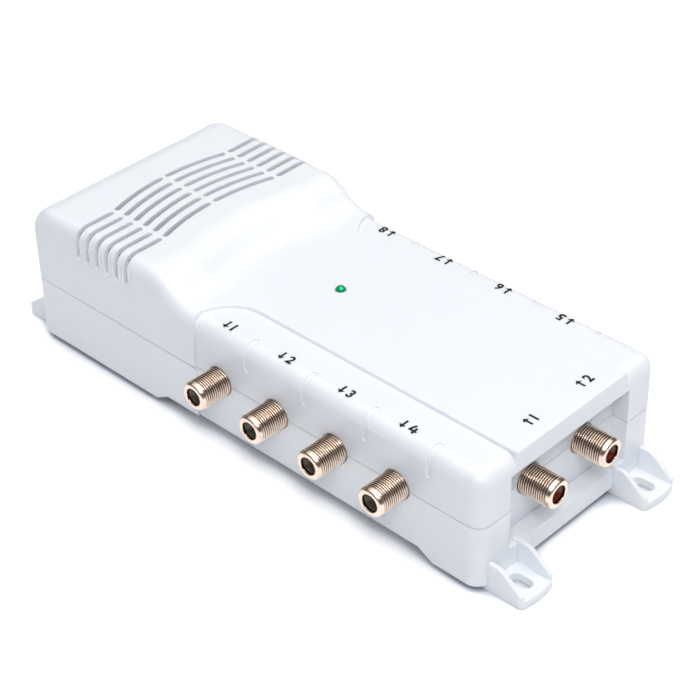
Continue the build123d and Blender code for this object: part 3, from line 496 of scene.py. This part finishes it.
for kind, material in (("output", brown_acetal), ("input", red_acetal)):
    names = [name for name in socket_names if name.startswith(kind)]
    turned_mesh = lathe("turned_insulator", insulator_profile, insulator_faces_round, True)
    turned = bpy.data.objects.new("turned_insulator", turned_mesh)
    bpy.context.scene.collection.objects.link(turned)
    places = [socket_place(name, "_insulator", -1) for name in names]
    insulators = set_in_places(kind + "_insulators", turned, places, material)
    keep(insulators, kind + "_insulator", *[name + "_insulator" for name in names])

# The contact is a tube of tinned bronze, a pale warm metal, slit so that it springs on the wire.
tinned_bronze = surface("tinned bronze", "#D8CDB4", "#B9A681", 1.5 * mm, 0.15 * mm, 0.003 * mm, 0.26, Metallic=1.0)
dress(tinned_bronze, *[name + "_contact" for name in socket_names])


# Printed numbers
# Pad printed in black ink that dries dull: a number at each socket, and a small arrow that points the
# way the signal goes. The strokes are as bold as pad printing needs.
number_height = 3.5 * mm
ink_thickness = 0.03 * mm
weld_distance = ink_thickness / 300
stroke_growth = 0.032
open_four_shares = [
    (0, 0.22), (0.46, 0.22), (0.46, 0), (0.67, 0), (0.67, 0.22), (0.82, 0.22), (0.82, 0.41), (0.67, 0.41),
    (0.67, 0.74), (0.46, 0.74), (0.46, 0.41), (0.24, 0.41), (0.44, 1), (0.21, 1), (0, 0.41),
]
ink = surface("black pad printing ink", "#0C0B10", "#15141A", 1.2 * mm, 0.15 * mm, 0.004 * mm, 0.65, IOR=1.4)
strip_top = 41.9 * mm
panel_top = 43.1 * mm
arrow_room = 3.6 * mm
arrow_middle = 1.3 * mm


def flat_print(name, outline):
    """Thin flat mesh of an outline that runs anticlockwise."""
    count = len(outline)
    points = [(x, y, side * ink_thickness / 2) for side in (-1, 1) for x, y in outline]
    under = list(range(count))[::-1]
    upper = list(range(count, 2 * count))
    edge = [(step, (step + 1) % count, (step + 1) % count + count, step + count) for step in range(count)]
    mesh = bpy.data.meshes.new(name)
    mesh.from_pydata(points, [], [under, upper, *edge])
    return mesh


def printed_number(text):
    """Flat mesh of a number, its left foot at the origin. The 4 is open, so that it can't fill with ink."""
    if text == "4":
        outline = [(x * number_height, y * number_height) for x, y in open_four_shares]
        return flat_print("number", outline), max(x for x, y in outline)
    curve = bpy.data.curves.new("number", "FONT")
    curve.body = text
    curve.extrude = ink_thickness / 2
    curve.offset = stroke_growth
    curve.resolution_u = 8
    writing = bpy.data.objects.new("number", curve)
    bpy.context.scene.collection.objects.link(writing)
    mesh = bpy.data.meshes.new_from_object(writing.evaluated_get(bpy.context.evaluated_depsgraph_get()))
    bpy.data.objects.remove(writing)
    low = Vector([min(vertex.co[part] for vertex in mesh.vertices) for part in range(3)])
    high = Vector([max(vertex.co[part] for vertex in mesh.vertices) for part in range(3)])
    scale = number_height / (high.y - low.y)
    mesh.transform(Matrix.Diagonal((scale, scale, 1, 1)) @ Matrix.Translation((-low.x, -low.y, 0)))
    return mesh, (high.x - low.x) * scale


def printed_arrow():
    """Flat mesh of an arrow that points down, as tall as a number."""
    stem = 0.36 * mm
    head = 1.25 * mm
    return flat_print("arrow", [
        (-stem, number_height), (-stem, head), (-head, head), (0, 0),
        (head, head), (stem, head), (stem, number_height),
    ])


def print_mark(paper_with_painted_shade, text, centre, reading, flip):
    """Adds a number with its arrow to a sheet of marks, centred on a place and turned to be read."""
    number, width = printed_number(text)
    total = width + arrow_room
    turned = Matrix.Translation(centre) @ Matrix.Rotation(reading, 4, "Z")
    number.transform(turned @ Matrix.Translation((-total / 2 + arrow_room, -number_height / 2, 0)))
    arrow = printed_arrow()
    arrow.transform(turned @ Matrix.Translation((-total / 2 + arrow_middle, 0, 0)) @ Matrix.Rotation(flip, 4, "Z")
                    @ Matrix.Translation((0, -number_height / 2, 0)))
    paper_with_painted_shade.from_mesh(number)
    paper_with_painted_shade.from_mesh(arrow)


marks = bmesh.new()
mark_lift = ink_thickness / 2
mark_side = 34.6 * mm
mark_shift = 0.6 * mm
mark_end = 88.4 * mm
mark_end_shift = 0.9 * mm
for name in socket_names:
    middle = socket_place(name, "_barrel", 1)[0]
    number = name.split("_")[1]
    if name.startswith("input"):
        centre = Vector((mark_end, middle.y + mark_end_shift, panel_top + mark_lift))
        print_mark(marks, number, centre, math.pi / 2, math.pi)
    else:
        side = math.copysign(1, middle.y)
        centre = Vector((middle.x + mark_shift, side * mark_side, strip_top + mark_lift))
        print_mark(marks, number, centre, 0 if side < 0 else math.pi, 0)
bmesh.ops.remove_doubles(marks, verts=marks.verts, dist=weld_distance)
bmesh.ops.recalc_face_normals(marks, faces=marks.faces)
mark_mesh = bpy.data.meshes.new("printed_numbers")
marks.to_mesh(mark_mesh)
marks.free()
mark_mesh.materials.clear()
mark_mesh.materials.append(ink)
printed_numbers = bpy.data.objects.new("printed_numbers", mark_mesh)
bpy.context.scene.collection.objects.link(printed_numbers)
keep(printed_numbers, "printing_ink")


# Lamp
# Green light emitting diode, cast in tinted epoxy and lit. Its flange rests against the roof from below.
# The lens glows a little, as the lamp is lit, and a brighter spot on the front right side of the dome is a painted
# highlight.
lens, tree, place = plain_tree("green tinted epoxy")
tint = add(tree, "ShaderNodeTexNoise", {"Scale": 1 / (1 * mm), "Detail": 2}, {"Vector": place}).outputs[0]
colour = add(tree, "ShaderNodeMix", {6: linear("#008A56"), 7: linear("#007144")}, {0: tint},
             data_type="RGBA").outputs[2]
# Place and size of the painted highlight on the dome, below its top and towards the front right.
glint_shift = Vector((0.85, -0.5, -0.3)) * mm
glint_half = 0.15 * mm
glint_edge = 0.75 * mm
lens_low, lens_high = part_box("led_lens")
lens_top = Vector(((lens_low.x + lens_high.x) / 2, (lens_low.y + lens_high.y) / 2, lens_high.z))
from_glint = add(tree, "ShaderNodeVectorMath", {1: lens_top + glint_shift}, {0: place},
                operation="DISTANCE").outputs["Value"]
shine = add(tree, "ShaderNodeMapRange", {"From Min": glint_half, "From Max": glint_edge, "To Min": 1.0, "To Max": 0.0},
            {"Value": from_glint}, interpolation_type="SMOOTHSTEP").outputs[0]
colour = add(tree, "ShaderNodeMix", {7: linear("#12D69A")}, {0: shine, 6: colour}, data_type="RGBA").outputs[2]
shader = add(tree, "ShaderNodeBsdfPrincipled", {
    "Roughness": 0.04, "IOR": 1.5, "Specular IOR Level": 0.25, "Emission Strength": 0.35,
}, {"Base Color": colour, "Emission Color": colour})
add(tree, "ShaderNodeOutputMaterial", links={"Surface": shader.outputs[0]})
dress(lens, "led_lens")

# A sleeve of milky nylon, which is left without pigment, stands on the lid of the frame and holds the
# lamp up.
nylon = surface("natural nylon", "#E2E0D6", "#D2CFC2", 5 * mm, 0.3 * mm, 0.01 * mm, 0.5, IOR=1.53)
dress(nylon, "led_spacer")


# Housing screws
# Four pan head screws of steel, driven up from the underside. They cut their own thread in the bosses of
# the cover, and a cross recess is pressed into each head. Zinc plate is a cool silver, faintly cloudy.
zinc = surface("bright zinc plate", "#C9CCD0", "#AEB2B8", 3 * mm, 0.2 * mm, 0.004 * mm, 0.3, Metallic=1.0)
head_radius = 2.7 * mm
head_height = 2.0 * mm
shank_radius = 1.5 * mm
screw_low, screw_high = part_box("housing_screws")
shank_length = screw_high.z - screw_low.z - head_height
coil_pitch = 1.2 * mm
coil_depth = 0.4 * mm
coil_end_gap = 0.3 * mm
coil_rows = round(shank_length / coil_pitch * rows_per_turn)
tip_length = 2.0 * mm
head_curve = [(0.93, 0.65), (0.75, 0.88), (0.5, 1)]
screw_faces_round = 32
screw_profile = [(0, -shank_length), (shank_radius / 3, -shank_length + tip_length / 4)]
screw_profile += [(shank_radius, -shank_length + tip_length + (shank_length - tip_length) * row / coil_rows)
                  for row in range(coil_rows + 1)]
screw_profile += [(head_radius, 0), (head_radius, 0.35 * head_height)]
screw_profile += [(across * head_radius, up * head_height) for across, up in head_curve]
screw_profile += [(0, head_height)]
blank = bpy.data.objects.new("screw_blank", lathe("screw_blank", screw_profile, screw_faces_round, False))
bpy.context.scene.collection.objects.link(blank)

# Two tapered bars across each other make the recess.
slot_width = 0.62 * mm
slot_span = 3.1 * mm
punch_height = 1.6 * mm
punch_sink = 0.4 * mm
tip_share = 0.45
recess = bmesh.new()
for quarter in range(2):
    made = bmesh.ops.create_cube(recess, size=1)["verts"]
    for corner in made:
        taper = 1.0 if corner.co.z > 0 else tip_share
        corner.co *= Vector((slot_width * taper, slot_span * taper, punch_height))
    bmesh.ops.rotate(recess, verts=made, matrix=Matrix.Rotation(math.pi / 2 * quarter, 3, "Z"))
    bmesh.ops.translate(recess, verts=made, vec=(0, 0, head_height - punch_sink))
recess_mesh = bpy.data.meshes.new("cross_recess")
recess.to_mesh(recess_mesh)
recess.free()
punch = bpy.data.objects.new("cross_recess", recess_mesh)
bpy.context.scene.collection.objects.link(punch)
pressed = blank.modifiers.new("cross_recess", "BOOLEAN")
pressed.object = punch
pressed.use_self = True
blank_mesh = bpy.data.meshes.new_from_object(blank.evaluated_get(bpy.context.evaluated_depsgraph_get()))
blank.modifiers.clear()
blank.data = blank_mesh
bpy.data.objects.remove(punch)

coiled = grown(blank, cut, {
    "Pitch": coil_pitch, "Depth": coil_depth, "Start": -shank_length + tip_length / 2, "End": -coil_end_gap,
    "Run out": coil_pitch, "Outer radius": shank_radius, "Bore radius": 0.0, "Material": zinc,
}, "threaded_screw")
vent_end_boss = (-88.5 * mm, 33.7 * mm)
input_end_boss = (88.5 * mm, 32.9 * mm)
head_foot = screw_low.z + head_height
screw_places = [(Vector((x, side * y, head_foot)), Vector((0, 0, -1)))
                for x, y in (vent_end_boss, input_end_boss) for side in (-1, 1)]
housing_screws = set_in_places("pan_head_screws", coiled, screw_places, zinc)
keep(housing_screws, "steel_screw", "housing_screws")


# Steel and tinned parts
# Board screws of zinc plated steel, the lamp's bright leads, and a frame of folded and soldered tinplate.
# Two covers press into the frame. Rolled tinplate is nearly white, with a soft sheen.
dress(zinc, "board_screws", "led_leads")
tinplate = surface("tinplate", "#D5D7D8", "#C0C3C6", 9 * mm, 0.5 * mm, 0.003 * mm, 0.25, Metallic=1.0)
dress(tinplate, "shield_frame", "shield_lid", "shield_floor")


# Boards
# Etched and drilled laminates: glass epoxy under green solder mask for the signals, soldered into the
# frame, and brown paper laminate for the mains supply, screwed to posts of the base.
def board(name, light, dark, track, pitch):
    """Laminate whose tracks show through as slightly lighter bands."""
    material, tree, place = plain_tree(name)
    cells = add(tree, "ShaderNodeTexBrick", {
        "Color1": linear(light), "Color2": linear(dark), "Mortar": linear(track),
        "Scale": 1.0, "Mortar Size": pitch / 9, "Brick Width": pitch * 3, "Row Height": pitch,
    }, {"Vector": place})
    weave = add(tree, "ShaderNodeTexNoise", {"Scale": 1 / (0.4 * mm), "Detail": 2}, {"Vector": place})
    bump = add(tree, "ShaderNodeBump", {"Strength": 0.5, "Distance": 0.01 * mm}, {"Height": weave.outputs[0]})
    shader = add(tree, "ShaderNodeBsdfPrincipled", {"Roughness": 0.45, "IOR": 1.55},
                 {"Base Color": cells.outputs[0], "Normal": bump.outputs[0]})
    add(tree, "ShaderNodeOutputMaterial", links={"Surface": shader.outputs[0]})
    return material


dress(board("green solder mask on glass epoxy", "#1E5A38", "#1A5032", "#3C7A52", 2.5 * mm), "main_board")
dress(board("brown paper laminate", "#A67F4B", "#9A7443", "#B98F58", 4 * mm), "power_board")


# Parts on the signal board
# Splitter cores of pressed ferrite wound with enamelled wire, drum inductors and moulded transistors,
# all soldered in place. Two leads bring the supply through glazed feedthroughs in the frame.
# Ferrite is a dull dark grey, the enamelled wire a glossy copper, moulded epoxy a soft black, the glaze
# shining and cream, and the skin of the leads a smooth red.
ferrite = surface("sintered ferrite", "#3A3B3D", "#2C2D2F", 1.5 * mm, 0.2 * mm, 0.02 * mm, 0.55, IOR=2.0)
dress(ferrite, "splitter_cores", "filter_inductors")
copper = surface("enamelled copper", "#B5652F", "#8E4A20", 1 * mm, 0.1 * mm, 0.003 * mm, 0.25, Metallic=1.0)
dress(copper, "splitter_windings")
epoxy = surface("black moulded epoxy", "#232325", "#1A1A1C", 3 * mm, 0.15 * mm, 0.008 * mm, 0.55, IOR=1.55)
dress(epoxy, "amplifier_transistors", "rectifier", "regulator")
ceramic = surface("glazed ceramic", "#D9D5C6", "#C9C3B0", 2 * mm, 0.2 * mm, 0.004 * mm, 0.2, IOR=1.6)
dress(ceramic, "feedthroughs")
lead_skin = surface("red PVC", "#A31A16", "#8A1512", 6 * mm, 0.3 * mm, 0.008 * mm, 0.4, IOR=1.53)
dress(lead_skin, "dc_leads")


# Mains supply
# Transformer of stacked steel sheets round a wound former, glass fuse in sprung clips, capacitors in
# shrunk sleeves, and a regulator against its heat sink. All of them are soldered to the supply board.
lamination = 0.5 * mm
radians_in_unit = 20

# Varnished sheets are brown grey. One is too thin to show, so a band of the pattern takes in six: the
# wave runs 20 radians to a unit of its scale, and here one radian to a sheet.
stack, tree, place = plain_tree("varnished transformer steel")
sheets = add(tree, "ShaderNodeTexWave", {"Scale": 1 / (lamination * radians_in_unit), "Distortion": 0.4, "Detail": 1},
             {"Vector": place}, bands_direction="X").outputs["Fac"]
colour = add(tree, "ShaderNodeMix", {6: linear("#55504C"), 7: linear("#77716B")}, {0: sheets},
             data_type="RGBA").outputs[2]
bump = add(tree, "ShaderNodeBump", {"Strength": 0.7, "Distance": 0.05 * mm}, {"Height": sheets})
shader = add(tree, "ShaderNodeBsdfPrincipled", {"Metallic": 0.8, "Roughness": 0.45},
             {"Base Color": colour, "Normal": bump.outputs[0]})
add(tree, "ShaderNodeOutputMaterial", links={"Surface": shader.outputs[0]})
dress(stack, "transformer_core")
# Glass filled nylon is a dull black, polyester tape a glossy yellow, the fuse pale and shiny, tinned brass
# a pale yellow metal, the shrunk sleeves a glossy blue black, and the anodised fins a satin black.
former = surface("glass filled nylon", "#2B2B2D", "#222224", 4 * mm, 0.3 * mm, 0.015 * mm, 0.5, IOR=1.53)
dress(former, "transformer_bobbin")
tape = surface("yellow polyester tape", "#D9B33A", "#C9A22E", 8 * mm, 0.6 * mm, 0.02 * mm, 0.3, IOR=1.57)
dress(tape, "transformer_windings")
tube = surface("fuse glass and caps", "#C6CCCB", "#AEB5B5", 3 * mm, 0.4 * mm, 0.002 * mm, 0.15, IOR=1.5)
dress(tube, "fuse")
clip = surface("tinned spring brass", "#CFC29A", "#B5A67C", 2 * mm, 0.2 * mm, 0.003 * mm, 0.3, Metallic=1.0)
dress(clip, "fuse_clips")
sleeve = surface("blue black shrunk sleeve", "#1B2142", "#151A36", 5 * mm, 0.5 * mm, 0.006 * mm, 0.28, IOR=1.53)
dress(sleeve, "reservoir_capacitors")
sink = surface("black anodised aluminium", "#2A2B2E", "#1E1F22", 4 * mm, 0.15 * mm, 0.006 * mm, 0.42, Metallic=1.0)
dress(sink, "heat_sink")


# Mains inlet
# Moulded body of dull black polyamide, soldered to the supply board and let into the wall of the tall
# end. Its two turned pins are nickel plated and shine.
inlet_plastic = surface("black polyamide", "#1C1C1E", "#151517", 6 * mm, 0.3 * mm, 0.01 * mm, 0.48, IOR=1.53)
dress(inlet_plastic, "inlet_body")
pin_plate = surface("nickel plated pin", "#D2CCC2", "#BCB5A9", 2 * mm, 0.2 * mm, 0.002 * mm, 0.22, Metallic=1.0)
dress(pin_plate, "inlet_pins")
